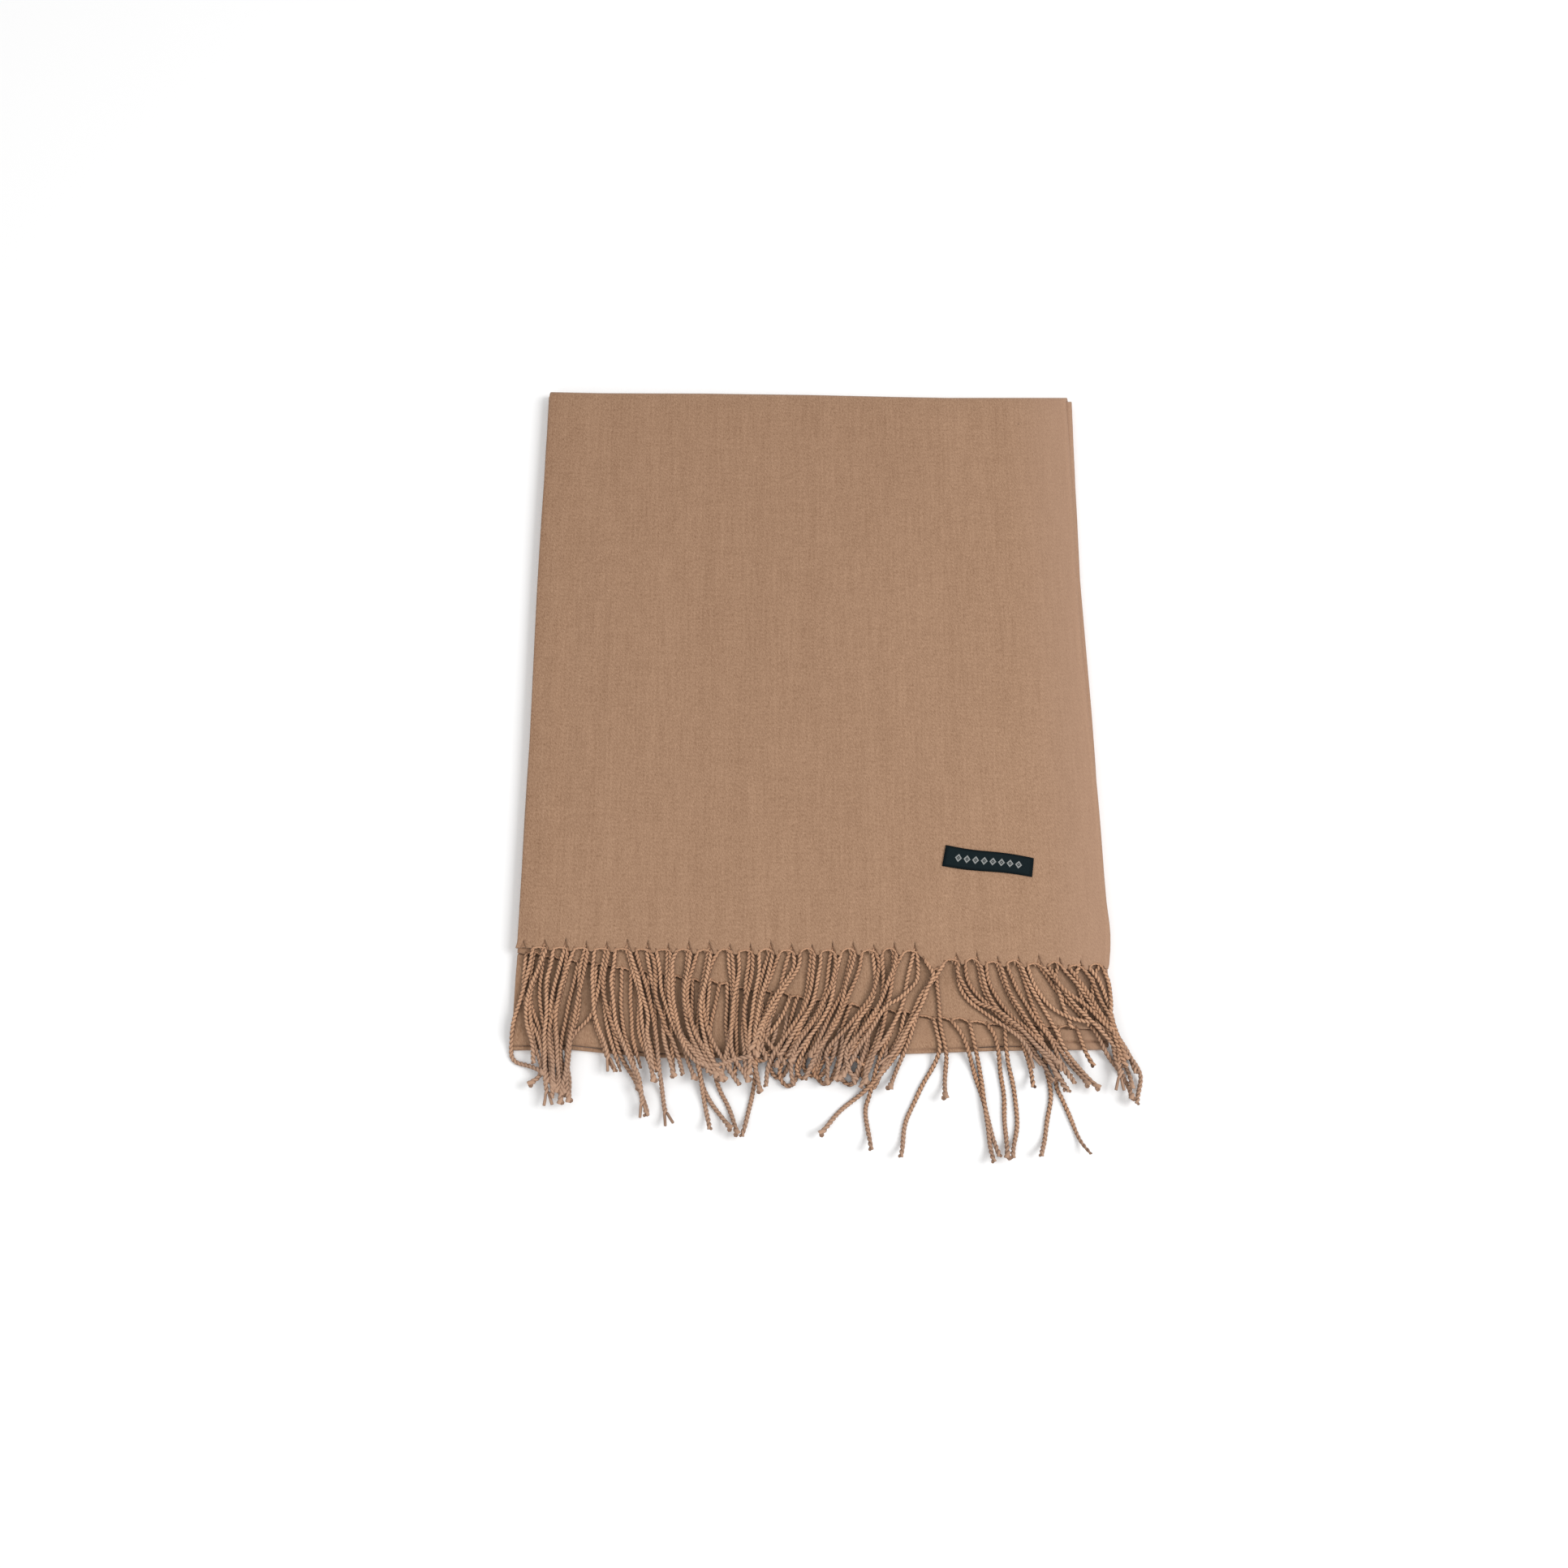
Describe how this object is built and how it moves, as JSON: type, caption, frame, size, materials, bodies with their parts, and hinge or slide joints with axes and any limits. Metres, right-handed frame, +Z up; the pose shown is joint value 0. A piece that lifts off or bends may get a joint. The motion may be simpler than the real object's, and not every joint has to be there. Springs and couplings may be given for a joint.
{
  "type": "pashmina shawl, folded flat",
  "caption": "Woven shawl folded flat into a layered rectangle, with both twisted-fringe ends lying out at its near side and a small blank woven label near the hem.",
  "frame": {"origin": "under the middle of the folded cloth, on the surface that it lies on", "axes": "+Y from the fringed side to the far fold, +X to the right as seen from the fringed side, +Z up from the surface"},
  "size_m": [0.3711, 0.515, 0.0227],
  "materials": {
    "cloth": "soft matt weave with a short nap",
    "cord": "two-ply twisted yarn, matt",
    "label": "dense satin weave"
  },
  "bodies": {
    "root": {"folded_stack": "cloth", "lower_end": "cloth", "upper_end": "cloth", "label": "label", "lower_fringe_back": "cord", "lower_fringe_front": "cord", "upper_fringe_back": "cord", "upper_fringe_front": "cord"}
  },
  "joints": []
}
